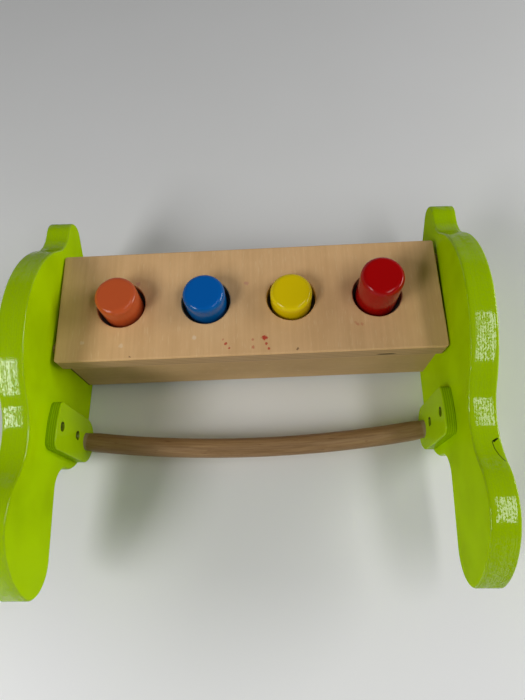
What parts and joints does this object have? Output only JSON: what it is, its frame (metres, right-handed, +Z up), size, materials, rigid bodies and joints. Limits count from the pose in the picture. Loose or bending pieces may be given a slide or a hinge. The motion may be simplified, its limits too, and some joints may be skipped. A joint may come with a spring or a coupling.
{
  "type": "toy workbench",
  "caption": "Wooden pounding bench: a board with coloured pegs held by rubber rings, between two animal-shaped sides joined by a bowed rod.",
  "frame": {"origin": "on the table, below the middle of the whole bench's outline", "axes": "+X to the right along the board as the child sits in front of it, +Y to the back where the tails are, +Z up"},
  "size_m": [0.3034, 0.2598, 0.124],
  "materials": {
    "lime_paint": "gloss lime green paint on wood",
    "birch_ply": "clear satin lacquer on birch plywood",
    "orange_paint": "gloss orange paint on wood",
    "blue_paint": "gloss blue paint on wood",
    "yellow_paint": "gloss yellow paint on wood",
    "red_paint": "gloss red paint on wood",
    "ring_rubber": "matt black rubber",
    "rod_wood": "sanded brown hardwood",
    "screw_steel": "dull steel, sunk below the face",
    "dowel_wood": "plain hardwood dowel"
  },
  "bodies": {
    "bench": {"side_panel_left": "lime_paint", "side_panel_right": "lime_paint", "top_board": "birch_ply", "front_apron": "birch_ply", "back_apron": "birch_ply", "end_board_left": "birch_ply", "end_board_right": "birch_ply", "guide_board": "birch_ply", "grip_ring_orange": "ring_rubber", "grip_ring_blue": "ring_rubber", "grip_ring_yellow": "ring_rubber", "grip_ring_red": "ring_rubber", "lug_left": "lime_paint", "lug_right": "lime_paint", "handle_rod": "rod_wood", "lug_screws": "screw_steel", "board_dowels": "dowel_wood", "end_dowels": "dowel_wood"},
    "orange_peg": {"peg_orange": "orange_paint"},
    "blue_peg": {"peg_blue": "blue_paint"},
    "yellow_peg": {"peg_yellow": "yellow_paint"},
    "red_peg": {"peg_red": "red_paint"}
  },
  "joints": [
    {"name": "orange_peg_slide", "type": "slide", "parent": "bench", "child": "orange_peg", "axis": [0, 0, 1], "range_m": [-0.016, 0.014]},
    {"name": "blue_peg_slide", "type": "slide", "parent": "bench", "child": "blue_peg", "axis": [0, 0, 1], "range_m": [-0.014, 0.016]},
    {"name": "yellow_peg_slide", "type": "slide", "parent": "bench", "child": "yellow_peg", "axis": [0, 0, 1], "range_m": [-0.01, 0.02]},
    {"name": "red_peg_slide", "type": "slide", "parent": "bench", "child": "red_peg", "axis": [0, 0, 1], "range_m": [-0.0265, 0.0035]}
  ]
}
